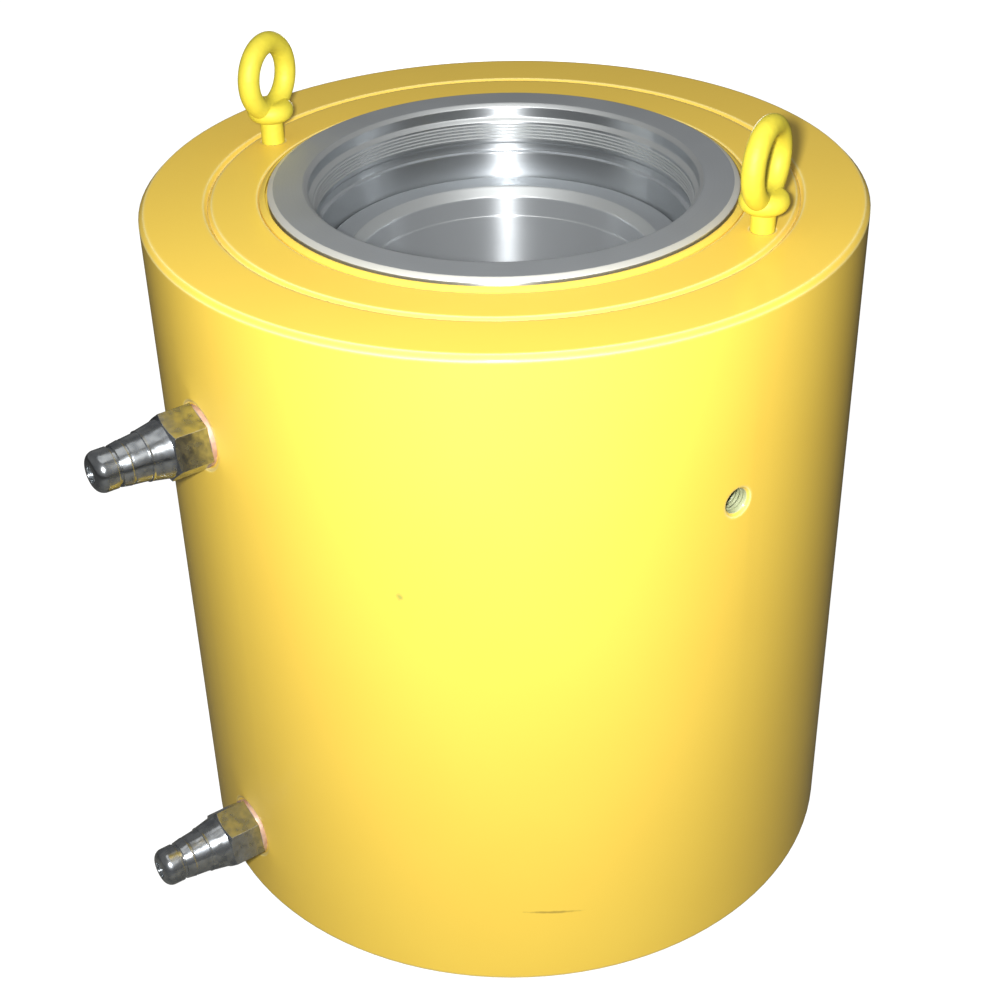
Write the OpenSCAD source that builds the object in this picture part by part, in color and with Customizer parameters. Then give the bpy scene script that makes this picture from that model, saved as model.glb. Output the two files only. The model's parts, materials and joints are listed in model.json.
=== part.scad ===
// Double-acting hollow plunger cylinder, retracted, standing on its base.
// Millimetres. The origin is the centre of the base, +Z is the way the plunger extends,
// and the two hose couplers are on the -X side.

/* [Body] */
// Outside diameter of the cylinder body
body_d = 300; // [294:1:330]
// Bore that the piston runs in
bore_d = 225; // [221:0.5:229]
// Thickness of the base under the pressure chamber
base_t = 29; // [26:1:36]
// Travel of the plunger
stroke = 150; // [120:1:180]
// Bevel on the two outer edges of the body
body_bevel = 2; // [0.5:0.5:4]

/* [Gland nut] */
// Diameter of the thread that holds the gland nut in the body
gland_d = 244; // [240:1:250]
// Height of the threaded part of the gland nut
gland_thread_h = 44; // [40:1:60]
// Height of the plain spigot that seals in the bore
gland_spigot_h = 16; // [14:0.5:24]
// Bevel on both edges of the seam between gland nut and body
seam_bevel = 1.6; // [0.5:0.1:2.5]

/* [Hollow plunger] */
// Outside diameter of the plunger
plunger_d = 195; // [190:0.5:200]
// Bore of the plunger, around the centre tube
plunger_bore_d = 156; // [152:0.5:157]
// Height of the plunger above the gland nut when retracted
plunger_proud = 3.5; // [3:0.1:15]
// Radial width of the bevel on the plunger's outer edge
plunger_bevel_w = 2.4; // [0.5:0.1:4]
// Height of that bevel
plunger_bevel_h = 1.4; // [0.5:0.1:3]
// Diameter of the threaded spigot under the piston head
spigot_d = 182; // [178:1:186]
// Height of the threaded spigot
spigot_h = 36; // [32:1:40]

/* [Saddle thread in the plunger's mouth] */
// Nominal diameter of the thread
saddle_d = 160; // [159:0.5:163]
// Pitch of the thread
saddle_pitch = 1.5; // [1:0.5:2]
// Length of the thread
saddle_thread_h = 10; // [8:0.5:14]
// Depth of the plain mouth above the thread
saddle_mouth_h = 6.2; // [4:0.2:8]
// Radial room of the plain mouth around the thread
saddle_mouth_t = 1; // [0.2:0.1:2]
// Bevel at the mouth
saddle_bevel = 1.6; // [0.5:0.1:4]
// Height of the run-out groove under the thread
saddle_relief_h = 4; // [2:0.5:6]

/* [Piston head] */
// Height of the piston head
piston_h = 73; // [68:1:82]
// Height of the stepped-in foot that keeps the lower port open
piston_foot_h = 14; // [12:0.5:16]
// Height of the stepped-in crown that keeps the upper port open
piston_crown_h = 12; // [11.5:0.5:14]
// How far foot and crown step in from the bore
piston_relief = 8; // [3:0.5:10]
// Gap under the piston head when retracted, and over it when extended
piston_stop_gap = 0.5; // [0.3:0.1:2]

/* [Centre tube] */
// Clear bore of the centre tube
tube_id = 126; // [116:1:130]
// Radial room between tube and plunger bore
tube_gap = 0.5; // [0.3:0.1:1]
// Thread that holds the tube in the base
tube_thread_d = 148; // [144:1:150]
// Length of that thread; the tube's shoulder stands on the ledge above it
tube_thread_h = 15; // [12:1:17]
// Depth of the tube's top face below the body's top face
tube_drop = 30; // [24:1:60]
// Depth of the bevelled lead-in at the tube's top
tube_lead_h = 4; // [3:0.5:8]
// Radial width of the bevelled lead-in
tube_lead_w = 3.6; // [2:0.1:5]
// Depth of the shallow counterbore under the lead-in
tube_step_h = 9; // [4:1:20]
// Radial width of the shallow counterbore
tube_step_w = 0.2; // [0.1:0.1:1]
// Width of the four spanner slots in the tube's foot
tube_slot_w = 10; // [6:1:14]
// Depth of the spanner slots
tube_slot_h = 5; // [3:0.5:7]

/* [Seals and guides] */
// Running clearance of guided faces, on the radius
run_gap = 0.1; // [0.05:0.01:0.1]
// Clearance of a seal on the face it runs on, on the radius
seal_gap = 0.05; // [0.02:0.01:0.08]
// Clearance of a ring at the bottom of its groove
ring_gap = 0.05; // [0.02:0.01:0.1]
// Thickness of the guide rings
guide_t = 2.5; // [2:0.1:3]
// Width of the guide rings on the piston and in the gland nut
guide_h = 8; // [6:0.5:9]
// Radial depth of the piston seal's groove
piston_seal_t = 7; // [6:0.2:8]
// Width of the piston seal
piston_seal_h = 12; // [10:0.5:14]
// Radial depth of the inner piston seal's groove
inner_seal_t = 6; // [5:0.2:7]
// Width of the inner piston seal
inner_seal_h = 9; // [7:0.5:10]
// Thickness of a slipper ring over its rubber spring ring
slipper_t = 2.8; // [2:0.1:3.2]
// Radial depth of the rod seal's groove
rod_seal_t = 7.5; // [6:0.5:8]
// Width of the rod seal
rod_seal_h = 12; // [9:0.5:13]
// Radial width of the wiper's seat at the gland's mouth
wiper_t = 3.5; // [3:0.1:5]
// Depth of the wiper's seat
wiper_h = 9; // [7:0.5:12]
// Depth of the wiper's lip below the gland's face
wiper_drop = 0.6; // [0.5:0.1:3]
// Radial depth of the static O-ring grooves
oring_t = 4.5; // [4:0.1:5]
// Free thickness of the static O-rings
oring_d = 5.2; // [5.1:0.1:5.8]
// Width of the backup rings beside the O-rings
backup_h = 2.2; // [1.5:0.1:3]

/* [Ports and couplers] */
// Height of each port from its end of the chamber
port_edge = 7; // [5:0.5:8]
// Drilled passage from port to chamber
port_drill_d = 8; // [4:0.5:9]
// Thread of the ports
port_d = 20; // [18:0.5:21]
// Depth of the threaded part of the ports
port_h = 18; // [14:0.5:22]
// Spot face around the ports
spot_d = 29; // [28:0.5:32]
// Depth of the spot face
spot_h = 0.9; // [0.8:0.1:2]
// Outside diameter of the copper washers
washer_d = 26; // [25:0.5:28]
// Thickness of the copper washers
washer_t = 2; // [1:0.1:3]
// Width of the coupler's hexagon across flats
hex_af = 25; // [24:0.5:27]
// Length of the hexagon
hex_h = 15; // [8:0.5:18]
// Turn of the hexagon about its own axis
hex_turn = 11; // [0:1:59]
// Length of the cone between hexagon and barrel
shoulder_h = 9; // [6:0.5:12]
// Diameter of the barrel at its thick end
barrel_d = 20; // [19:0.2:22]
// Length of the tapered barrel
barrel_h = 13; // [12:0.5:20]
// Diameter of the nose that enters the hose coupling
nose_d = 17.2; // [16.6:0.2:18.6]
// Length of the nose, with its rounded end
nose_h = 8.5; // [8:0.5:12]
// Radius of the rounded end of the nose
nose_round = 4; // [2:0.5:5]
// Flow passage in the coupler
passage_d = 10; // [9:0.2:11]
// Mouth of the passage at the nose
mouth_d = 7.2; // [6.4:0.2:8]
// Travel of the valve poppet
poppet_travel = 4; // [2:0.5:5]

/* [Lifting eyebolts] */
// Outside diameter of the ring
eye_d = 37.5; // [34:0.5:44]
// Thickness of the ring
eye_bar_d = 9.2; // [8:0.2:10.4]
// Thread of the eyebolt
eye_thread_d = 10; // [8:1:12]
// Length screwed into the gland nut
eye_engage = 14; // [10:1:18]
// Length of shank that shows under the collar
eye_standout = 10; // [4:0.5:16]
// Diameter of the collar
eye_collar_d = 20; // [17:0.5:22]
// Height of the collar
eye_collar_h = 8.5; // [7:0.5:10]
// Height of the ring's centre above the underside of the collar
eye_rise = 19.7; // [18:0.1:24]
// Distance of the eyebolt's thread from the gland nut's rim
eye_edge = 9; // [8:0.5:12]
// Direction of the first eyebolt from +X, in degrees
eye_angle = 117.5; // [0:0.5:179.5]
// Turn of the second eyebolt's ring out of line with the rim, in degrees
eye_twist = -2; // [-20:1:20]
// How much further the second eyebolt is screwed in
eye_lower = 2; // [0:0.5:4]

/* [Side tapped holes] */
// Tapping diameter of the hole
side_hole_d = 10.2; // [8:0.1:14]
// Depth of the hole
side_hole_h = 22; // [16:1:28]
// Diameter of the countersunk mouth
side_mouth_d = 13.2; // [12:0.2:18]
// Depth of the hole's centre below the body's top face
side_hole_drop = 80.5; // [70:0.5:120]

/* [Hidden] */
$fn = 96;
over = 1;
thread_gap = 0.05;
enamel = "#e9c63a";
enamel_bright = "#f4dc2a";
machined = "#9aa0a3";
bright_zinc = "#b9bdbb";
copper = "#c98a6a";
nitrile = "#202022";
urethane = "#b99a35";
bronze = "#8a6a3a";
spring_wire = "#8c9092";

body_r = body_d / 2;
bore_r = bore_d / 2;
gland_r = gland_d / 2;
plunger_r = plunger_d / 2;
plunger_bore_r = plunger_bore_d / 2;
spigot_r = spigot_d / 2;
tube_r = plunger_bore_r - tube_gap;
tube_in_r = tube_id / 2;
tube_thread_r = tube_thread_d / 2;

piston_z = base_t + piston_stop_gap;
piston_top = piston_z + piston_h;
gland_z = piston_top + stroke + piston_stop_gap;
gland_step_z = gland_z + gland_spigot_h;
body_h = gland_step_z + gland_thread_h;
plunger_top = body_h + plunger_proud;
tube_top = body_h - tube_drop;
tube_edge = 0.8;

// The mouth of the plunger, from the top down
saddle_r = saddle_d / 2;
thread_depth = 0.5413;
saddle_minor_r = saddle_r - thread_depth * saddle_pitch;
saddle_mouth_r = saddle_r + saddle_mouth_t;
saddle_z1 = plunger_top - saddle_bevel - saddle_mouth_h;
saddle_z0 = saddle_z1 - saddle_thread_h;
saddle_relief_t = 0.2;
saddle_relief_r = saddle_r + saddle_relief_t;
saddle_relief_z = saddle_z0 - saddle_relief_h;

// Grooves of the piston head, from the foot up
piston_r = bore_r - run_gap;
piston_relief_r = bore_r - piston_relief;
piston_in_r = tube_r + run_gap;
land_z0 = piston_z + piston_foot_h;
land_z1 = piston_top - piston_crown_h;
land_margin = 2;
spigot_z = piston_top - spigot_h;
lower_guide_z = land_z0 + land_margin;
upper_guide_z = land_z1 - land_margin - guide_h;
piston_seal_z = (land_z0 + land_z1 - piston_seal_h) / 2;
inner_seal_z = piston_z + 2 * land_margin;
inner_guide_z = spigot_z - land_margin - guide_h;
spigot_oring_z = piston_seal_z + piston_seal_h + land_margin;
spigot_oring_r = spigot_r + thread_gap + oring_t;
lock_screw_d = 6;
lock_screw_land = 3;
lock_screw_sunk = 0.5;
lock_screw_r = plunger_bore_r + lock_screw_land;
lock_screw_z = (land_z1 + piston_top) / 2;

// Grooves of the gland nut, from the spigot up
gland_bore_r = plunger_r + run_gap;
gland_oring_z = gland_z + 2 * land_margin;
gland_guide_z = gland_z + 2 * land_margin;
rod_seal_z = gland_guide_z + guide_h + 2 * land_margin;
wiper_r = plunger_r + wiper_t;
wiper_z = body_h - wiper_h;
oring_side_gap = 0.3;
oring_groove_h = oring_d + oring_side_gap;

// Groove in the base, around the plain part of the centre tube
tube_oring_z = (base_t + tube_thread_h - oring_groove_h - backup_h) / 2;
tube_oring_r = tube_r + thread_gap + oring_t;

// Couplers, measured outward from the spot face
seat_x = body_r - spot_h;
port_end_gap = 1;
hex_z = washer_t;
hex_turned_w = 0.3;
hex_end_r = hex_af / 2 - hex_turned_w;
cone_step = 0.1;
cone_r = hex_end_r - cone_step;
barrel_line_t = 0.5;
barrel_line_w = 1;
shoulder_z = hex_z + hex_h;
barrel_z = shoulder_z + shoulder_h;
nose_z = barrel_z + barrel_h;
nose_end = nose_z + nose_h;
nose_r = nose_d / 2;
nose_groove_w = 1.6;
nose_groove_t = 0.8;
passage_r = passage_d / 2;
mouth_r = mouth_d / 2;
seat_cone_t = 3;
seat_cone_z = nose_end - nose_round - seat_cone_t;
cone_h = passage_r - mouth_r;
poppet_gap = 0.25;
poppet_r = passage_r - poppet_gap;
poppet_h = 6;
poppet_back = seat_cone_z - poppet_h;
stem_r = 1.8;
spring_wire_d = 0.9;
spring_turns = 6;
spring_room = 6.7;
spring_h = (spring_turns + 1) * spring_wire_d + poppet_travel + spring_room;
spring_mean_r = (poppet_r + stem_r) / 2;
spring_seat_h = 3;
spring_seat_z = poppet_back - spring_h - spring_seat_h;
clip_t = 1;
clip_depth = 0.8;
advance_z = base_t + port_edge;
retract_z = gland_z - port_edge;

// Eyebolts
eye_pcr = gland_r - eye_edge;
eye_ring_r = (eye_d - eye_bar_d) / 2;
eye_ring_z = eye_standout + eye_rise;
side_hole_z = body_h - side_hole_drop;

// A turned solid from its half profile, points as [radius, height]
module turned(points) {
  rotate_extrude() polygon(points);
}

// A plain ring
module ring(r_in, r_out, z, h) {
  rotate_extrude() translate([r_in, z]) square([r_out - r_in, h]);
}

// A round-section ring squeezed between two walls
module squeezed_ring(r_in, r_out, z, d) {
  rotate_extrude() translate([(r_in + r_out) / 2, z + d / 2]) intersection() {
    circle(d = d);
    square([r_out - r_in, d + over], center = true);
  }
}

// Places a coupler piece at a port: its own +Z then points outward, along -X
module at_port(z) {
  translate([-seat_x, 0, z]) rotate([0, -90, 0]) children();
}

// Spot face, thread and passage of a port
module port_cut(z) {
  at_port(z) {
    cylinder(d = spot_d, h = spot_h + over);
    translate([0, 0, -port_h]) cylinder(d = port_d + 2 * thread_gap, h = port_h + over);
    translate([0, 0, bore_r - seat_x - port_drill_d])
      cylinder(d = port_drill_d, h = seat_x - bore_r + port_drill_d);
  }
}

// Blind tapped hole with a countersunk mouth, on the -Y side
module side_hole_cut() {
  mouth_t = (side_mouth_d - side_hole_d) / 2;
  translate([0, -body_r, side_hole_z]) rotate([-90, 0, 0]) {
    translate([0, 0, -over]) cylinder(d = side_hole_d, h = side_hole_h + over);
    cylinder(d1 = side_mouth_d, d2 = side_hole_d, h = mouth_t);
    translate([0, 0, -over]) cylinder(d = side_mouth_d, h = over);
  }
}

module cylinder_body() {
  color(enamel) difference() {
    turned([
      [tube_thread_r + thread_gap, 0],
      [body_r - body_bevel, 0],
      [body_r, body_bevel],
      [body_r, body_h - body_bevel],
      [body_r - body_bevel, body_h],
      [gland_r + thread_gap + seam_bevel, body_h],
      [gland_r + thread_gap, body_h - seam_bevel],
      [gland_r + thread_gap, gland_step_z],
      [bore_r, gland_step_z],
      [bore_r, base_t],
      [tube_r + thread_gap, base_t],
      [tube_r + thread_gap, tube_thread_h],
      [tube_thread_r + thread_gap, tube_thread_h]
    ]);
    ring(tube_r, tube_oring_r, tube_oring_z, oring_groove_h + backup_h);
    port_cut(advance_z);
    port_cut(retract_z);
    for (turn = [0, 180]) rotate(turn) side_hole_cut();
  }
}

module gland_nut() {
  spigot_out_r = bore_r - run_gap;
  mouth_bevel = 0.8;
  color(enamel) difference() {
    turned([
      [gland_bore_r, gland_z],
      [spigot_out_r, gland_z],
      [spigot_out_r, gland_step_z],
      [gland_r, gland_step_z],
      [gland_r, body_h - seam_bevel],
      [gland_r - seam_bevel, body_h],
      [wiper_r + mouth_bevel, body_h],
      [wiper_r, body_h - mouth_bevel],
      [wiper_r, wiper_z],
      [gland_bore_r, wiper_z]
    ]);
    ring(gland_bore_r - over, gland_bore_r + guide_t, gland_guide_z, guide_h);
    ring(gland_bore_r - over, plunger_r + rod_seal_t, rod_seal_z, rod_seal_h);
    ring(spigot_out_r - oring_t, spigot_out_r + over, gland_oring_z, oring_groove_h + backup_h);
    eye_hole(0, eye_engage);
    eye_hole(180, eye_engage + eye_lower);
  }
}

// Lip at the gland's mouth that scrapes the plunger clean as it goes in
module rod_wiper() {
  lip_t = 0.9;
  lip_h = 3;
  r_in = plunger_r + seal_gap;
  r_out = wiper_r - ring_gap;
  z_top = body_h - wiper_drop;
  color(urethane) turned([
    [r_in + lip_t / 2, wiper_z],
    [r_out, wiper_z],
    [r_out, z_top - lip_h],
    [r_in + lip_t, z_top],
    [r_in, z_top],
    [r_in + lip_t / 2, z_top - lip_h]
  ]);
}

// U-shaped seal with its open side to the pressure below
module rod_seal() {
  r_in = plunger_r + seal_gap;
  r_out = plunger_r + rod_seal_t - ring_gap;
  lip_t = rod_seal_t / 4;
  notch_h = rod_seal_h / 3;
  color(urethane) turned([
    [r_in, rod_seal_z + ring_gap],
    [r_in + lip_t, rod_seal_z + ring_gap],
    [(r_in + r_out) / 2, rod_seal_z + notch_h],
    [r_out - lip_t, rod_seal_z + ring_gap],
    [r_out, rod_seal_z + ring_gap],
    [r_out, rod_seal_z + rod_seal_h],
    [r_in, rod_seal_z + rod_seal_h]
  ]);
}

module gland_guide_ring() {
  color(bronze) ring(plunger_r + seal_gap, gland_bore_r + guide_t - ring_gap,
                     gland_guide_z, guide_h - ring_gap);
}

module gland_o_ring() {
  r_out = bore_r - run_gap;
  color(nitrile) squeezed_ring(r_out - oring_t + ring_gap, bore_r - ring_gap, gland_oring_z, oring_d);
}

module gland_backup_ring() {
  r_out = bore_r - run_gap;
  color("ivory") ring(r_out - oring_t + ring_gap, bore_r - ring_gap,
                      gland_oring_z + oring_groove_h, backup_h);
}

// Fixed tube that lines the through hole, and that the hollow plunger slides over
module centre_tube() {
  step_r = tube_in_r + tube_step_w;
  lead_z = tube_top - tube_lead_h;
  color(machined) difference() {
    turned([
      [tube_in_r, 0],
      [tube_thread_r, 0],
      [tube_thread_r, tube_thread_h],
      [tube_r, tube_thread_h],
      [tube_r, tube_top - tube_edge],
      [tube_r - tube_edge, tube_top],
      [step_r + tube_lead_w, tube_top],
      [step_r, lead_z],
      [step_r, lead_z - tube_step_h],
      [tube_in_r, lead_z - tube_step_h - tube_step_w]
    ]);
    for (turn = [0, 90]) rotate(turn) translate([-tube_thread_r - over, -tube_slot_w / 2, -over])
      cube([2 * (tube_thread_r + over), tube_slot_w, tube_slot_h + over]);
  }
}

module tube_o_ring() {
  color(nitrile) squeezed_ring(tube_r + ring_gap, tube_oring_r - ring_gap,
                               tube_oring_z + backup_h, oring_d);
}

module tube_backup_ring() {
  color("ivory") ring(tube_r + ring_gap, tube_oring_r - ring_gap, tube_oring_z, backup_h);
}

module eye_hole(turn, depth) {
  rotate(eye_angle + turn) translate([eye_pcr, 0, body_h - depth])
    cylinder(d = eye_thread_d + 2 * thread_gap, h = depth + over);
}

// Forged eyebolt, screwed down until its shank stands on the bottom of its hole
module eyebolt(turn, twist, lower) {
  collar_r = eye_collar_d / 2;
  thread_r = eye_thread_d / 2;
  edge = 2;
  bulb_r = eye_collar_h / 2;
  color(enamel_bright) rotate(eye_angle + turn) translate([eye_pcr, 0, body_h - lower]) rotate(twist) {
    translate([0, 0, -eye_engage]) cylinder(r = thread_r, h = eye_engage + eye_standout + edge);
    translate([0, 0, eye_standout]) rotate_extrude() {
      square([collar_r - bulb_r, eye_collar_h]);
      intersection() {
        translate([collar_r - bulb_r, bulb_r]) circle(r = bulb_r);
        square([collar_r, eye_collar_h]);
      }
    }
    translate([0, 0, eye_ring_z]) rotate([0, 90, 0])
      rotate_extrude() translate([eye_ring_r, 0]) circle(d = eye_bar_d);
  }
}

module eyebolt_left() {
  eyebolt(0, 0, 0);
}

module eyebolt_right() {
  eyebolt(180, eye_twist, eye_lower);
}

module hollow_plunger() {
  color(machined) difference() {
    turned([
      [plunger_bore_r, spigot_z],
      [spigot_r, spigot_z],
      [spigot_r, piston_top],
      [plunger_r, piston_top],
      [plunger_r, plunger_top - plunger_bevel_h],
      [plunger_r - plunger_bevel_w, plunger_top],
      [saddle_mouth_r + saddle_bevel, plunger_top],
      [saddle_mouth_r, plunger_top - saddle_bevel],
      [saddle_mouth_r, saddle_z1 + saddle_mouth_r - saddle_minor_r],
      [saddle_minor_r, saddle_z1],
      [saddle_minor_r, saddle_z0],
      [saddle_relief_r, saddle_z0],
      [saddle_relief_r, saddle_relief_z],
      [plunger_bore_r, saddle_relief_z]
    ]);
    lock_screw_holes();
  }
}

// Two radial screws across the thread keep the piston head from unscrewing
module lock_screw_holes() {
  for (turn = [0, 180]) rotate(eye_angle + turn)
    translate([lock_screw_r, 0, lock_screw_z]) rotate([0, 90, 0])
      cylinder(d = lock_screw_d + 2 * thread_gap, h = bore_r - lock_screw_r);
}

module piston_lock_screws() {
  color(spring_wire) for (turn = [0, 180]) rotate(eye_angle + turn)
    translate([lock_screw_r, 0, lock_screw_z]) rotate([0, 90, 0])
      cylinder(d = lock_screw_d, h = piston_relief_r - lock_screw_r - lock_screw_sunk);
}

// Screwed onto the plunger's spigot; runs in the bore outside and on the centre tube inside
module piston_head() {
  color(machined) difference() {
    turned([
      [piston_in_r, piston_z],
      [piston_relief_r, piston_z],
      [piston_relief_r, land_z0],
      [piston_r, land_z0],
      [piston_r, land_z1],
      [piston_relief_r, land_z1],
      [piston_relief_r, piston_top],
      [spigot_r + thread_gap, piston_top],
      [spigot_r + thread_gap, spigot_z],
      [piston_in_r, spigot_z]
    ]);
    ring(piston_r - guide_t, bore_r + over, lower_guide_z, guide_h);
    ring(piston_r - guide_t, bore_r + over, upper_guide_z, guide_h);
    ring(piston_r - piston_seal_t, bore_r + over, piston_seal_z, piston_seal_h);
    ring(tube_r - over, piston_in_r + inner_seal_t, inner_seal_z, inner_seal_h);
    ring(tube_r - over, piston_in_r + guide_t, inner_guide_z, guide_h);
    ring(spigot_r, spigot_oring_r, spigot_oring_z, oring_groove_h);
    lock_screw_holes();
  }
}

module piston_o_ring() {
  color(nitrile) squeezed_ring(spigot_r + ring_gap, spigot_oring_r - ring_gap, spigot_oring_z, oring_d);
}

// Slipper ring that runs on the bore, pressed out by a rubber ring behind it
module piston_seal() {
  color(bronze) ring(piston_r - slipper_t, bore_r - seal_gap, piston_seal_z, piston_seal_h - ring_gap);
}

module piston_spring_ring() {
  color(nitrile) ring(piston_r - piston_seal_t + ring_gap, piston_r - slipper_t - ring_gap,
                      piston_seal_z, piston_seal_h - 2 * ring_gap);
}

module piston_guide(z) {
  color(bronze) ring(piston_r - guide_t + ring_gap, bore_r - seal_gap, z, guide_h - ring_gap);
}

module lower_guide_ring() {
  piston_guide(lower_guide_z);
}

module upper_guide_ring() {
  piston_guide(upper_guide_z);
}

module inner_seal() {
  color(bronze) ring(tube_r + seal_gap, piston_in_r + slipper_t, inner_seal_z, inner_seal_h - ring_gap);
}

module inner_spring_ring() {
  color(nitrile) ring(piston_in_r + slipper_t + ring_gap, piston_in_r + inner_seal_t - ring_gap,
                      inner_seal_z, inner_seal_h - 2 * ring_gap);
}

module inner_guide_ring() {
  color(bronze) ring(tube_r + seal_gap, piston_in_r + guide_t - ring_gap,
                     inner_guide_z, guide_h - ring_gap);
}

// Hexagon with the corners turned off at its outer end
module coupler_hex() {
  corner_r = hex_af / sqrt(3);
  intersection() {
    rotate(hex_turn) cylinder(r = corner_r, h = hex_h, $fn = 6);
    turned([
      [0, 0],
      [corner_r, 0],
      [corner_r, hex_h - (corner_r - hex_end_r) / 2],
      [hex_end_r, hex_h],
      [0, hex_h]
    ]);
  }
}

// Outside of the turned part: cone, collar line, tapered barrel, groove and rounded nose
module coupler_barrel() {
  barrel_r = barrel_d / 2;
  mid_r = (barrel_r + nose_r) / 2;
  mid_z = barrel_z + barrel_h / 2;
  groove_z = nose_z - nose_groove_w;
  turned([
    [0, 0],
    [cone_r, 0],
    [cone_r, shoulder_z],
    [barrel_r + barrel_line_t, barrel_z - barrel_line_w],
    [barrel_r + barrel_line_t, barrel_z],
    [barrel_r, barrel_z],
    [mid_r, mid_z],
    [mid_r - barrel_line_t / 2, mid_z],
    [mid_r - barrel_line_t / 2, mid_z + barrel_line_w],
    [mid_r, mid_z + barrel_line_w],
    [nose_r, groove_z],
    [nose_r - nose_groove_t, groove_z],
    [nose_r - nose_groove_t, nose_z],
    [nose_r, nose_z],
    [nose_r, nose_end - nose_round],
    [0, nose_end - nose_round]
  ]);
  translate([0, 0, nose_end - nose_round]) rotate_extrude() {
    square([nose_r - nose_round, nose_round]);
    intersection() {
      translate([nose_r - nose_round, 0]) circle(r = nose_round);
      square([nose_r, nose_round]);
    }
  }
}

module coupler(z) {
  color(bright_zinc) at_port(z) difference() {
    union() {
      translate([0, 0, port_end_gap - port_h]) cylinder(d = port_d, h = port_h + hex_z);
      translate([0, 0, hex_z]) coupler_hex();
      translate([0, 0, hex_z]) intersection() {
        translate([0, 0, -hex_z]) coupler_barrel();
        cylinder(d = 2 * hex_af, h = nose_end);
      }
    }
    translate([0, 0, -port_h]) cylinder(r = passage_r, h = port_h + seat_cone_z);
    translate([0, 0, seat_cone_z]) cylinder(r1 = passage_r, r2 = mouth_r, h = cone_h);
    translate([0, 0, seat_cone_z]) cylinder(r = mouth_r, h = nose_end);
    ring(passage_r - over, passage_r + clip_depth, spring_seat_z - clip_t, clip_t);
  }
}

module coupler_washer(z) {
  color(copper) at_port(z) ring(port_d / 2 + 2 * thread_gap, washer_d / 2, 0, washer_t);
}

// Valve that the mating half pushes inward to let the oil through
module coupler_poppet(z) {
  tip_r = mouth_r - poppet_gap;
  tip_sunk = 1;
  cone_z = seat_cone_z - poppet_gap;
  color(machined) at_port(z) turned([
    [0, spring_seat_z],
    [stem_r, spring_seat_z],
    [stem_r, poppet_back],
    [poppet_r, poppet_back],
    [poppet_r, cone_z],
    [tip_r, cone_z + poppet_r - tip_r],
    [tip_r, nose_end - tip_sunk],
    [0, nose_end - tip_sunk]
  ]);
}

// Points of a round wire on a coil, one ring of points per step
function coil_ring(turn, z, mean_r, wire_r, sides) = [
  for (j = [0 : sides - 1]) let (a = 360 * j / sides, r = mean_r + wire_r * cos(a))
    [r * cos(turn), r * sin(turn), z + wire_r * sin(a)]
];

module coil(mean_r, wire_d, turns, length) {
  sides = 6;
  steps = turns * 12;
  rise = length - wire_d;
  points = [
    for (i = [0 : steps])
      each coil_ring(360 * turns * i / steps, wire_d / 2 + rise * i / steps, mean_r, wire_d / 2, sides)
  ];
  walls = [
    for (i = [0 : steps - 1], j = [0 : sides - 1]) let (k = (j + 1) % sides)
      [i * sides + j, (i + 1) * sides + j, (i + 1) * sides + k, i * sides + k]
  ];
  first_cap = [for (j = [0 : sides - 1]) j];
  last_cap = [for (j = [sides - 1 : -1 : 0]) steps * sides + j];
  polyhedron(points, concat([first_cap], walls, [last_cap]));
}

module coupler_spring(z) {
  color(spring_wire) at_port(z) translate([0, 0, spring_seat_z + spring_seat_h])
    coil(spring_mean_r, spring_wire_d, spring_turns, spring_h);
}

// Slotted disc that guides the poppet's stem and carries the spring
module coupler_spring_seat(z) {
  hole_r = 1.1;
  color(machined) at_port(z) translate([0, 0, spring_seat_z]) difference() {
    cylinder(r = passage_r - ring_gap, h = spring_seat_h);
    translate([0, 0, -over]) cylinder(r = stem_r + poppet_gap, h = spring_seat_h + 2 * over);
    for (turn = [0 : 60 : 300]) rotate(turn) translate([spring_mean_r, 0, -over])
      cylinder(r = hole_r / 2, h = spring_seat_h + 2 * over);
  }
}

// Spring clip in the passage, under the spring seat
module coupler_clip(z) {
  clip_open = 50;
  color(spring_wire) at_port(z) rotate_extrude(angle = 360 - clip_open)
    translate([passage_r - clip_depth, spring_seat_z - clip_t]) square([2 * clip_depth - ring_gap, clip_t]);
}

module retract_coupler() {
  coupler(retract_z);
}

module retract_washer() {
  coupler_washer(retract_z);
}

module retract_poppet() {
  coupler_poppet(retract_z);
}

module retract_spring() {
  coupler_spring(retract_z);
}

module retract_spring_seat() {
  coupler_spring_seat(retract_z);
}

module retract_clip() {
  coupler_clip(retract_z);
}

module advance_coupler() {
  coupler(advance_z);
}

module advance_washer() {
  coupler_washer(advance_z);
}

module advance_poppet() {
  coupler_poppet(advance_z);
}

module advance_spring() {
  coupler_spring(advance_z);
}

module advance_spring_seat() {
  coupler_spring_seat(advance_z);
}

module advance_clip() {
  coupler_clip(advance_z);
}

cylinder_body();
gland_nut();
rod_wiper();
rod_seal();
gland_guide_ring();
gland_o_ring();
gland_backup_ring();
centre_tube();
tube_o_ring();
tube_backup_ring();
eyebolt_left();
eyebolt_right();
hollow_plunger();
piston_head();
piston_o_ring();
piston_seal();
piston_spring_ring();
lower_guide_ring();
upper_guide_ring();
inner_seal();
inner_spring_ring();
inner_guide_ring();
piston_lock_screws();
retract_coupler();
retract_washer();
retract_poppet();
retract_spring();
retract_spring_seat();
retract_clip();
advance_coupler();
advance_washer();
advance_poppet();
advance_spring();
advance_spring_seat();
advance_clip();
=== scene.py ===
import json
from math import cos, pi, radians, sin

import bmesh
import bpy
from mathutils import Matrix, Vector

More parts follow.
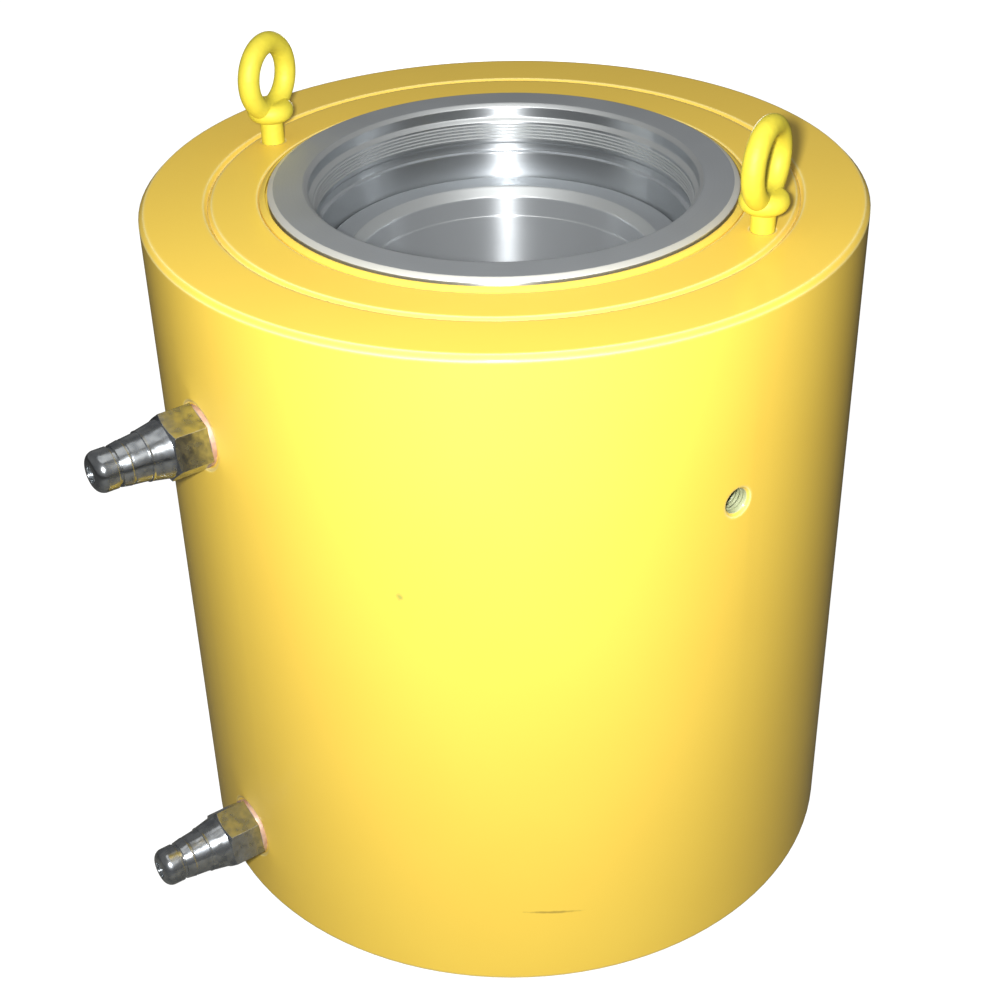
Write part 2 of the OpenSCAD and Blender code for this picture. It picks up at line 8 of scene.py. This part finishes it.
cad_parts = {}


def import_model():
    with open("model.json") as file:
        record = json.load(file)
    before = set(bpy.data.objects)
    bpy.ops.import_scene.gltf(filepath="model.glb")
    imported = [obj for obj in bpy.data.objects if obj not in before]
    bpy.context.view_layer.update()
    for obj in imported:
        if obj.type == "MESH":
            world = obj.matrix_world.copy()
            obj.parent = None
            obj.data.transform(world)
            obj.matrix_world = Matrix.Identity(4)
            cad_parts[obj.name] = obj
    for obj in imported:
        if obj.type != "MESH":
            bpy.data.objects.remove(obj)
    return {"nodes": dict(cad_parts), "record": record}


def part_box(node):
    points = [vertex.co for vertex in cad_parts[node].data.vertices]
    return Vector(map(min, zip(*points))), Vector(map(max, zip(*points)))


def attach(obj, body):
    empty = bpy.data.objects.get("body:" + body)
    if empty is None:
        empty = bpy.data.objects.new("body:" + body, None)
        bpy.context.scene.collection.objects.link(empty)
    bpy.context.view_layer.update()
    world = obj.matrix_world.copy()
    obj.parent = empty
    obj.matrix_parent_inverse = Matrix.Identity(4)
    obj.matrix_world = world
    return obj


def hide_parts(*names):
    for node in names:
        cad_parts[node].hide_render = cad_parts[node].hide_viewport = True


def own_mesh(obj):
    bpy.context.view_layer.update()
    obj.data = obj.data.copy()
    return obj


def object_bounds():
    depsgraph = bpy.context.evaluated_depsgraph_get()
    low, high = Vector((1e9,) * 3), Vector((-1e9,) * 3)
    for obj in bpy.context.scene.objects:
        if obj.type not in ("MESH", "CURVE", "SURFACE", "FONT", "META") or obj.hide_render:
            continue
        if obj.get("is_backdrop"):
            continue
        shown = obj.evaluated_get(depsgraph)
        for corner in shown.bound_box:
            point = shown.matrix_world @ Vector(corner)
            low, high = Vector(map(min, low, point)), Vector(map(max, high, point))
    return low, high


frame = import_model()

cad_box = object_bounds()
MM = 0.001
mounts = {mount["name"]: mount for mount in frame["record"]["mounts"]}
face_middle_r = mounts["plunger_face"]["pos_m"][0]
scene = bpy.context.scene

# View

LENS_MM = 63.36
SENSOR_MM = 36
CAMERA_AT = Vector((-0.3962, -0.5555, 0.6044))
CAMERA_TURN = radians(-35.11)
CAMERA_DOWN = radians(33.343)
CAMERA_ROLL = radians(-1.403)


def camera():
    """The camera, where the photograph was taken from."""
    data = bpy.data.cameras.new("camera")
    data.lens = LENS_MM
    data.sensor_width = SENSOR_MM
    piece = bpy.data.objects.new("camera", data)
    turn = Matrix.Rotation(CAMERA_TURN, 4, "Z")
    tilt = Matrix.Rotation(pi / 2 - CAMERA_DOWN, 4, "X")
    roll = Matrix.Rotation(CAMERA_ROLL, 4, "Z")
    piece.matrix_world = Matrix.Translation(CAMERA_AT) @ turn @ tilt @ roll
    scene.collection.objects.link(piece)
    scene.camera = piece


camera()

# Colours and shader nodes


def linear(code):
    """A #rrggbb sRGB colour as linear RGBA."""
    channels = [int(code[i:i + 2], 16) / 255 for i in (1, 3, 5)]
    return [c / 12.92 if c <= 0.04045 else ((c + 0.055) / 1.055) ** 2.4 for c in channels] + [1]


def connect(tree, node, inputs):
    """Gives each named input a value, or a link where the value is another node's output."""
    for name, value in inputs.items():
        if isinstance(value, bpy.types.NodeSocket):
            tree.links.new(value, node.inputs[name])
        else:
            node.inputs[name].default_value = value


def add(tree, kind, inputs=None, **settings):
    """Adds one shader node with its settings and links."""
    node = tree.nodes.new("ShaderNode" + kind)
    for name, value in settings.items():
        setattr(node, name, value)
    connect(tree, node, inputs or {})
    return node


def surface(name, **inputs):
    """A new material, its node tree and its shader, with the constant inputs set."""
    material = bpy.data.materials.new(name)
    material.use_nodes = True
    tree = material.node_tree
    shader = tree.nodes["Principled BSDF"]
    connect(tree, shader, {name.replace("_", " "): value for name, value in inputs.items()})
    return material, tree, shader


def distance_along(tree, point, axis):
    """Distance along a turned piece's wall: its height on the axis plus its radius."""
    across = add(tree, "VectorMath", {0: point, 1: [1 - a for a in axis]}, operation="MULTIPLY")
    radius = add(tree, "VectorMath", {0: across.outputs[0]}, operation="LENGTH")
    height = add(tree, "VectorMath", {0: point, 1: axis}, operation="DOT_PRODUCT")
    return add(tree, "Math", {0: radius.outputs["Value"], 1: height.outputs["Value"]}).outputs[0]


# Marks in the paint, by their places on the part: centre, tilt about Y, turn about Z and half sizes

SCUFF = (Vector((-0.0748, -0.13, 0.0416)), radians(5), radians(-30.5), Vector((0.016, 0.01, 0.0009)))
SPECK = (Vector((-0.1182, -0.0923, 0.207)), 0, radians(-52), Vector((0.002, 0.005, 0.002)))
# Size of the nicks along a mark's ragged edge
RAGGED_MM = 3
# How far past a tapped hole's wall the thin mist of paint reaches
MIST_MM = 0.3


def mark(tree, point, place):
    """1 in the middle of a flat spot on the part, fading to 0 at its ragged edge."""
    centre, tilt, turn, half = place
    ragged = add(tree, "TexNoise", {"Vector": point, "Scale": 1 / (RAGGED_MM * MM), "Detail": 4})
    spot = {"Vector": point, "Location": centre, "Rotation": (0, tilt, turn), "Scale": half}
    local = add(tree, "Mapping", spot, vector_type="TEXTURE")
    far = add(tree, "VectorMath", {0: local.outputs[0]}, operation="LENGTH")
    edge = add(tree, "Math", {0: far.outputs["Value"], 1: ragged.outputs["Fac"]})
    return add(tree, "MapRange", {"Value": edge.outputs[0], "From Min": 1.5, "From Max": 0.8}).outputs[0]


def tapped_hole(tree, point):
    """1 in the tapped side holes, where only a thin mist of paint goes, 0 elsewhere."""
    hole = mounts["side_hole_front"]
    middle = Vector(hole["pos_m"])
    misted_r = (hole["dims"]["r_mm"] + MIST_MM) * MM
    offset = add(tree, "VectorMath", {0: point, 1: (0, 0, middle.z)}, operation="SUBTRACT")
    across = add(tree, "VectorMath", {0: offset.outputs[0], 1: (1, 0, 1)}, operation="MULTIPLY")
    radius = add(tree, "VectorMath", {0: across.outputs[0]}, operation="LENGTH")
    inside = add(tree, "Math", {0: radius.outputs["Value"], 1: misted_r}, operation="LESS_THAN")
    return inside.outputs[0]


# Paint

# Rays that find the edges to round
EDGE_SAMPLES = 8
# The paint rounds every edge to about this radius
PAINTED_EDGE_MM = 2
# Cosines between a face and its rounded edge where the painted edge highlight starts and where it is full
EDGE_HIGHLIGHT_START = 0.998
EDGE_HIGHLIGHT_FULL = 0.95
# How much of the paint's colour the painted edge highlight covers at full
EDGE_HIGHLIGHT_SHARE = 0.7
MOTTLE_MM = 60
PEEL_MM = 2.5
PEEL_DEPTH_MM = 0.03
RUN_MM = 5
RUN_DEPTH_MM = 0.5


def sprayed_enamel():
    """Gloss enamel sprayed on machined steel: an even warm yellow with a soft orange peel in its shine, and
    a pale painted highlight along the edges."""
    material, tree, shader = surface(
        "sprayed_enamel", Roughness=0.6, IOR=1.6, Coat_Weight=0.35, Coat_Roughness=0.15)
    point = add(tree, "TexCoord").outputs["Object"]
    mottle = add(tree, "TexNoise", {"Vector": point, "Scale": 1 / (MOTTLE_MM * MM), "Detail": 2})
    rounded = add(tree, "Bevel", {"Radius": PAINTED_EDGE_MM * MM}, samples=EDGE_SAMPLES).outputs[0]
    normal = add(tree, "NewGeometry").outputs["Normal"]
    bend = add(tree, "VectorMath", {0: rounded, 1: normal}, operation="DOT_PRODUCT")
    # Painted highlight: the paint's colour goes cream along every rounded edge, where the shine of the edges
    # would be
    painted_edge_highlight = add(tree, "MapRange", {"Value": bend.outputs["Value"], "From Min": EDGE_HIGHLIGHT_START,
                                    "From Max": EDGE_HIGHLIGHT_FULL, "To Max": EDGE_HIGHLIGHT_SHARE})
    layers = (
        (mottle.outputs["Fac"], "#e9c447"),
        (mark(tree, point, SCUFF), "#b69a3a"),
        (mark(tree, point, SPECK), "#a9a548"),
        (painted_edge_highlight.outputs[0], "#f3e6a2"),
        (tapped_hole(tree, point), "#a3a983"),
    )
    colour = linear("#ecc94c")
    for share, code in layers:
        mixed = add(tree, "Mix", {"Factor": share, "A": colour, "B": linear(code)}, data_type="RGBA")
        colour = mixed.outputs["Result"]
    peel = add(tree, "TexNoise", {"Vector": point, "Scale": 1 / (PEEL_MM * MM), "Detail": 1})
    bump = add(tree, "Bump", {"Height": peel.outputs["Fac"], "Strength": 0.5,
                              "Distance": PEEL_DEPTH_MM * MM, "Normal": rounded})
    connect(tree, shader, {"Base Color": colour, "Normal": bump.outputs[0], "Coat Normal": bump.outputs[0]})
    return material


def dipped_enamel():
    """Thick lemon enamel over a forging: the rough steel under it shows as soft waves and runs."""
    material, tree, shader = surface("dipped_enamel", Roughness=0.58, IOR=1.5)
    point = add(tree, "TexCoord").outputs["Object"]
    runs = add(tree, "TexNoise", {"Vector": point, "Scale": 1 / (RUN_MM * MM), "Detail": 2,
                                  "Distortion": 0.4})
    colour = add(tree, "Mix", {"Factor": runs.outputs["Fac"], "A": linear("#d8c93e"),
                               "B": linear("#cabb34")}, data_type="RGBA")
    bump = add(tree, "Bump", {"Height": runs.outputs["Fac"], "Strength": 0.6,
                              "Distance": RUN_DEPTH_MM * MM})
    connect(tree, shader, {"Base Color": colour.outputs["Result"], "Normal": bump.outputs[0]})
    return material


# Metals

UPRIGHT = (0, 0, 1)
SIDEWAYS = (1, 0, 0)
# Feed lines are drawn about four times as coarse as a lathe leaves them, so that they show
STEEL_FEED_MM = 0.8
STEEL_FEED_DEPTH_MM = 0.003
WEAR_MM = 25
WALL_ROUGHNESS = 0.33
FACE_ROUGHNESS = 0.6
WALL_SMEAR = 0.9
# Distances out from the middle of the plunger's face: bevels inside the first get the painted highlight only
# a little, by this share, and those outside the second fully
LITTLE_HIGHLIGHT_MM = 1.6
FULL_HIGHLIGHT_MM = 5.6
INNER_HIGHLIGHT_SHARE = 0.25
FITTING_EDGE_MM = 0.4
# The fittings' fine lines are drawn coarser than real ones too
FITTING_FEED_DEPTH_MM = 0.008
BLOTCH_MM = 4


def turned_steel(name, wall_metallic, end_metallic, edge_mm):
    """Bare steel off the lathe. Its feed lines run round it, so on a bored or turned wall the light smears
    into an upright streak, while a faced end stays a duller, even grey and a bevel is painted pale and made
    less metallic as a painted highlight."""
    material, tree, shader = surface(name, Anisotropic_Rotation=0.25)
    point = add(tree, "TexCoord").outputs["Object"]
    normal = add(tree, "NewGeometry").outputs["Normal"]
    upright = add(tree, "VectorMath", {0: normal, 1: UPRIGHT}, operation="DOT_PRODUCT")
    faced = add(tree, "Math", {0: upright.outputs["Value"]}, operation="ABSOLUTE").outputs[0]
    off_wall = add(tree, "MapRange", {"Value": faced, "From Min": 0.2, "From Max": 0.4})
    off_face = add(tree, "MapRange", {"Value": faced, "From Min": 0.97, "From Max": 0.93})
    sloped = add(tree, "Math", {0: off_wall.outputs[0], 1: off_face.outputs[0]}, operation="MULTIPLY")
    across = add(tree, "VectorMath", {0: point, 1: (1, 1, 0)}, operation="MULTIPLY")
    radius = add(tree, "VectorMath", {0: across.outputs[0]}, operation="LENGTH")
    highlight_spread = add(tree, "MapRange", {"Value": radius.outputs["Value"],
                                 "From Min": face_middle_r + LITTLE_HIGHLIGHT_MM * MM,
                                 "From Max": face_middle_r + FULL_HIGHLIGHT_MM * MM,
                                 "To Min": INNER_HIGHLIGHT_SHARE})
    # Painted highlight: the bevels, most of all the plunger's outer one, are painted pale and made less
    # metallic so that they show bright
    bevel = add(tree, "Math", {0: sloped.outputs[0], 1: highlight_spread.outputs[0]}, operation="MULTIPLY").outputs[0]
    colour = add(tree, "Mix", {"Factor": bevel, "A": linear("#b6babd"), "B": linear("#dcdcd4")},
                 data_type="RGBA")
    bright = add(tree, "MapRange", {"Value": faced, "To Min": wall_metallic, "To Max": end_metallic})
    bare = add(tree, "MapRange", {"Value": bevel, "To Min": bright.outputs[0], "To Max": 0.7 * end_metallic})
    cut = add(tree, "MapRange", {"Value": faced, "To Min": WALL_ROUGHNESS, "To Max": FACE_ROUGHNESS})
    smear = add(tree, "MapRange", {"Value": faced, "To Min": WALL_SMEAR, "To Max": 0})
    along = distance_along(tree, point, UPRIGHT)
    feed = add(tree, "TexNoise", {"W": along, "Scale": 1 / (STEEL_FEED_MM * MM), "Detail": 3},
               noise_dimensions="1D")
    wear = add(tree, "TexNoise", {"Vector": point, "Scale": 1 / (WEAR_MM * MM), "Detail": 3})
    both = add(tree, "Math", {0: feed.outputs["Fac"], 1: wear.outputs["Fac"]}, operation="MULTIPLY")
    uneven = add(tree, "MapRange", {"Value": both.outputs[0], "To Min": 0.9, "To Max": 1.3})
    rough = add(tree, "Math", {0: cut.outputs[0], 1: uneven.outputs[0]}, operation="MULTIPLY")
    rounded = add(tree, "Bevel", {"Radius": edge_mm * MM}, samples=EDGE_SAMPLES)
    bump = add(tree, "Bump", {"Height": feed.outputs["Fac"], "Strength": 0.5,
                              "Distance": STEEL_FEED_DEPTH_MM * MM, "Normal": rounded.outputs[0]})
    tangent = add(tree, "Tangent", direction_type="RADIAL", axis="Z")
    connect(tree, shader, {"Base Color": colour.outputs["Result"], "Metallic": bare.outputs[0],
                           "Roughness": rough.outputs[0], "Anisotropic": smear.outputs[0],
                           "Normal": bump.outputs[0], "Tangent": tangent.outputs[0]})
    return material


def fitting_metal(name, dark, light, metallic, roughness, feed_mm, wave_mm):
    """Small metal pieces, plated, rolled or drawn: fine lines round their own axis, and a handled skin
    whose blotches are dull beside bright and bend the reflections."""
    material, tree, shader = surface(
        name, Metallic=metallic, Anisotropic=0.3, Anisotropic_Rotation=0.25)
    point = add(tree, "TexCoord").outputs["Object"]
    blotch = add(tree, "TexNoise", {"Vector": point, "Scale": 1 / (BLOTCH_MM * MM), "Detail": 1})
    patch = add(tree, "MapRange", {"Value": blotch.outputs["Fac"], "From Min": 0.35, "From Max": 0.65})
    colour = add(tree, "Mix", {"Factor": patch.outputs[0], "A": linear(dark), "B": linear(light)},
                 data_type="RGBA")
    rough = add(tree, "MapRange", {"Value": patch.outputs[0], "To Min": 1.3 * roughness,
                                   "To Max": 0.8 * roughness})
    along = distance_along(tree, point, SIDEWAYS)
    feed = add(tree, "TexNoise", {"W": along, "Scale": 1 / (feed_mm * MM), "Detail": 2},
               noise_dimensions="1D")
    rounded = add(tree, "Bevel", {"Radius": FITTING_EDGE_MM * MM}, samples=EDGE_SAMPLES)
    waves = add(tree, "Bump", {"Height": blotch.outputs["Fac"], "Strength": 0.6,
                               "Distance": wave_mm * MM, "Normal": rounded.outputs[0]})
    bump = add(tree, "Bump", {"Height": feed.outputs["Fac"], "Strength": 0.5,
                              "Distance": FITTING_FEED_DEPTH_MM * MM, "Normal": waves.outputs[0]})
    tangent = add(tree, "Tangent", direction_type="RADIAL", axis="X")
    connect(tree, shader, {"Base Color": colour.outputs["Result"], "Roughness": rough.outputs[0],
                           "Normal": bump.outputs[0], "Tangent": tangent.outputs[0]})
    return material


# Seals and guides

FILLER_DEPTH_MM = 0.02


def moulded(name, dark, light, roughness, speck_mm):
    """Moulded or skived ring stock: even in colour, with the fine specks of its filler."""
    material, tree, shader = surface(name, Roughness=roughness, IOR=1.5)
    point = add(tree, "TexCoord").outputs["Object"]
    specks = add(tree, "TexNoise", {"Vector": point, "Scale": 1 / (speck_mm * MM), "Detail": 3})
    colour = add(tree, "Mix", {"Factor": specks.outputs["Fac"], "A": linear(dark), "B": linear(light)},
                 data_type="RGBA")
    bump = add(tree, "Bump", {"Height": specks.outputs["Fac"], "Strength": 0.4,
                              "Distance": FILLER_DEPTH_MM * MM})
    connect(tree, shader, {"Base Color": colour.outputs["Result"], "Normal": bump.outputs[0]})
    return material


# Finishes by material slot

finishes = {
    "yellow_enamel": sprayed_enamel(),
    "lemon_enamel": dipped_enamel(),
    "machined_steel": turned_steel("turned_steel", wall_metallic=0.9, end_metallic=0.85, edge_mm=1.5),
    # Mirrors the paint and the lamps, in ripples
    "zinc_steel": fitting_metal("bright_zinc_plate", "#a3a8ad", "#cdd1d3",
                                metallic=1, roughness=0.22, feed_mm=0.7, wave_mm=0.15),
    # Pale pink, with a soft sheen
    "copper": fitting_metal("annealed_copper", "#d3ae9b", "#e8cfc0",
                            metallic=0.6, roughness=0.45, feed_mm=0.5, wave_mm=0.1),
    # A clean grey gloss
    "spring_steel": fitting_metal("drawn_spring_wire", "#9b9d9d", "#b0b2b2",
                                  metallic=1, roughness=0.3, feed_mm=0.4, wave_mm=0.02),
    # Black with a dull sheen
    "nitrile": moulded("moulded_nitrile", "#171718", "#222224", roughness=0.55, speck_mm=1.5),
    # A waxy yellow close to the paint's
    "urethane": moulded("yellow_urethane", "#dfbf4c", "#e8ca57", roughness=0.4, speck_mm=2),
    # Brown, with fine lighter specks
    "guide_bronze": moulded("bronze_filled_ptfe", "#66502f", "#856a42", roughness=0.5, speck_mm=0.6),
    # Milky white and smooth
    "ptfe": moulded("skived_ptfe", "#e4e1d6", "#f0ede3", roughness=0.4, speck_mm=1.5),
}
for subpart in frame["record"]["subparts"]:
    for slot in frame["nodes"][subpart["node"]].material_slots:
        slot.material = finishes[subpart["material_slot"]]

# A thread's crests keep sharp edges
cut_thread = turned_steel("cut_thread_steel", wall_metallic=0.9, end_metallic=0.85, edge_mm=0.1)
# The tube's honed bore is a softer grey than the plunger's turned one
honed_tube = turned_steel("honed_tube_steel", wall_metallic=0.65, end_metallic=0.95, edge_mm=1.5)
for slot in frame["nodes"]["centre_tube"].material_slots:
    slot.material = honed_tube

# Pieces made here

# Faces that meet at more than this angle keep a sharp edge
SHARP_ANGLE = radians(35)


def skinned(name, body, finish, rings, closed=False):
    """A piece skinned over rings of points, each joined to the next, that rides on a body."""
    mesh = bmesh.new()
    loops = [[mesh.verts.new(point) for point in ring] for ring in rings]
    if closed:
        loops.append(loops[0])
    else:
        mesh.faces.new(loops[0])
        mesh.faces.new(reversed(loops[-1]))
    for before, here in zip(loops, loops[1:]):
        for i in range(len(here)):
            mesh.faces.new((before[i - 1], before[i], here[i], here[i - 1]))
    bmesh.ops.recalc_face_normals(mesh, faces=mesh.faces)
    data = bpy.data.meshes.new(name)
    mesh.to_mesh(data)
    mesh.free()
    data.shade_smooth()
    data.set_sharp_from_angle(angle=SHARP_ANGLE)
    data.materials.append(finish)
    piece = bpy.data.objects.new(name, data)
    scene.collection.objects.link(piece)
    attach(piece, body)
    return piece


# Screw threads

STEPS_PER_TURN = 120
RUN_OUT_TURNS = 1 / 8
# Share of its height that a ridge keeps at its very ends
END_HEIGHT = 0.02
# Half widths of a ridge at its root and crest, and the wall left plain at both ends together, in pitches
ROOT_HALF = 0.42
CREST_HALF = 0.1
PLAIN_ENDS = 1.5
SADDLE_PITCH = 1.5 * MM
SADDLE_RIDGE = 0.6 * MM
SIDE_PITCH = 1.75 * MM
SIDE_RIDGE = 0.8 * MM
# How deep a ridge's root sits in its wall
SUNK = 0.03 * MM


def thread_rings(mount, pitch, ridge):
    """Rings of points along the ridge of a screw thread in a mount's round wall, tapered at its ends."""
    axis = Vector(mount["axis"])
    length = mount["dims"]["length_mm"] * MM - PLAIN_ENDS * pitch
    wall_r = mount["dims"]["r_mm"] * MM + SUNK
    crest_r = mount["dims"]["r_mm"] * MM - ridge
    start = Vector(mount["pos_m"]) - axis * length / 2
    place = Matrix.Translation(start) @ axis.to_track_quat("Z", "Y").to_matrix().to_4x4()
    root = ROOT_HALF * pitch
    crest = CREST_HALF * pitch
    steps = round(length / pitch * STEPS_PER_TURN)
    for step in range(steps + 1):
        turns = step / STEPS_PER_TURN
        grown = min(1, max(END_HEIGHT, min(step, steps - step) / STEPS_PER_TURN / RUN_OUT_TURNS))
        top_r = wall_r + (crest_r - wall_r) * grown
        profile = [(wall_r, -root), (top_r, -crest), (top_r, crest), (wall_r, root)]
        turn = 2 * pi * turns
        yield [place @ Vector((r * cos(turn), r * sin(turn), turns * pitch + h)) for r, h in profile]


skinned("saddle_thread", "plunger", cut_thread,
        thread_rings(mounts["saddle_thread"], SADDLE_PITCH, SADDLE_RIDGE))
for side in ("side_hole_front", "side_hole_back"):
    skinned(side + "_thread", "cylinder", finishes["yellow_enamel"],
            thread_rings(mounts[side], SIDE_PITCH, SIDE_RIDGE))

# Wiper lip

LIP_STEPS = 240
LIP_W = 2.5 * MM
LIP_RISE = 1.3 * MM
LIP_TOP_W = 0.5 * MM
LIP_ROUND = 0.3 * MM


def lip_rings():
    """Rings of points round the wiper's lip, which swells over the gland's face towards the plunger."""
    face_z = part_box("gland_nut")[1].z
    wiper_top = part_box("rod_wiper")[1]
    outer_r = wiper_top.y
    inner_r = outer_r - LIP_W
    profile = [
        (inner_r, wiper_top.z - LIP_RISE),
        (outer_r, wiper_top.z - LIP_RISE),
        (outer_r, face_z),
        (outer_r - LIP_ROUND, face_z + LIP_ROUND),
        (inner_r + LIP_TOP_W + LIP_ROUND, face_z + LIP_RISE - LIP_ROUND / 2),
        (inner_r + LIP_TOP_W, face_z + LIP_RISE),
        (inner_r, face_z + LIP_RISE),
    ]
    for step in range(LIP_STEPS):
        turn = 2 * pi * step / LIP_STEPS
        yield [(r * cos(turn), r * sin(turn), z) for r, z in profile]


skinned("wiper_lip", "cylinder", finishes["urethane"], lip_rings(), closed=True)

# Valve springs

WIRE_R = 0.45 * MM
WIRE_SIDES = 12
COILS = 6
STEPS_PER_COIL = 36


def coil_rings(low, high):
    """Rings of points along a coil of round wire that fills a box, wound along X."""
    middle = (low + high) / 2
    coil_r = (high.z - low.z) / 2 - WIRE_R
    rise = high.x - low.x - 2 * WIRE_R
    steps = COILS * STEPS_PER_COIL
    for step in range(steps + 1):
        turn = 2 * pi * step / STEPS_PER_COIL
        x = low.x + WIRE_R + rise * step / steps
        ring = []
        for side in range(WIRE_SIDES):
            angle = 2 * pi * side / WIRE_SIDES
            r = coil_r + WIRE_R * cos(angle)
            ring.append((x + WIRE_R * sin(angle), middle.y + r * cos(turn), middle.z + r * sin(turn)))
        yield ring


for valve in ("retract", "advance"):
    low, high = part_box(valve + "_spring")
    spring = skinned(valve + "_coil", "cylinder", finishes["spring_steel"],
                     coil_rings(low, high))
    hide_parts(valve + "_spring")
    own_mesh(spring)

# Stage and light

FLOOR_HALF = 4
ROOM_LIGHT = 0.15


def floor():
    """Grey paper that shows white to the camera and throws little light back on the part."""
    mesh = bmesh.new()
    bmesh.ops.create_grid(mesh, x_segments=2, y_segments=2, size=FLOOR_HALF)
    data = bpy.data.meshes.new("floor")
    mesh.to_mesh(data)
    mesh.free()
    piece = bpy.data.objects.new("floor", data)
    scene.collection.objects.link(piece)
    material, tree, shader = surface("grey_paper", Base_Color=linear("#5c5c5a"), Roughness=0.9)
    seen = add(tree, "LightPath").outputs["Is Camera Ray"]
    connect(tree, shader, {"Emission Color": linear("#ffffff"), "Emission Strength": seen})
    data.materials.append(material)
    piece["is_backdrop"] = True


def lamp(name, place, aim, size, power):
    """A round lamp aimed at a point, unseen by the camera."""
    data = bpy.data.lights.new(name, "AREA")
    data.shape = "DISK"
    data.size = size
    data.energy = power
    piece = bpy.data.objects.new(name, data)
    turn = (aim - place).to_track_quat("-Z", "Y").to_matrix().to_4x4()
    piece.matrix_world = Matrix.Translation(place) @ turn
    piece.visible_camera = False
    scene.collection.objects.link(piece)


def world():
    """Dim even light all round, which the camera sees as a white backdrop."""
    scene.world = bpy.data.worlds.new("studio")
    scene.world.use_nodes = True
    tree = scene.world.node_tree
    seen = add(tree, "LightPath").outputs["Is Camera Ray"]
    strength = add(tree, "MapRange", {"Value": seen, "To Min": ROOM_LIGHT, "To Max": 1})
    connect(tree, tree.nodes["Background"], {"Color": linear("#ffffff"), "Strength": strength.outputs[0]})


floor()
world()
# A small lamp by the lens, a wide soft one overhead and a low one that lights the back
lamp("key", Vector((-0.3892, -0.4991, 0.5944)), Vector((-0.06, -0.09, 0.2)), size=0.04, power=9.2)
lamp("overhead", Vector((0, 0, 1.6)), Vector((0, 0, 0)), size=1.2, power=2)
lamp("back", Vector((0.84, 1.17, 0.14)), Vector((0, 0, 0.17)), size=0.24, power=8)
scene.view_settings.view_transform = "Standard"

# Size of the dressed part beside the construction's

boxes = {"cad": cad_box, "visual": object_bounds()}
{name: [list(corner) for corner in box] for name, box in boxes.items()}
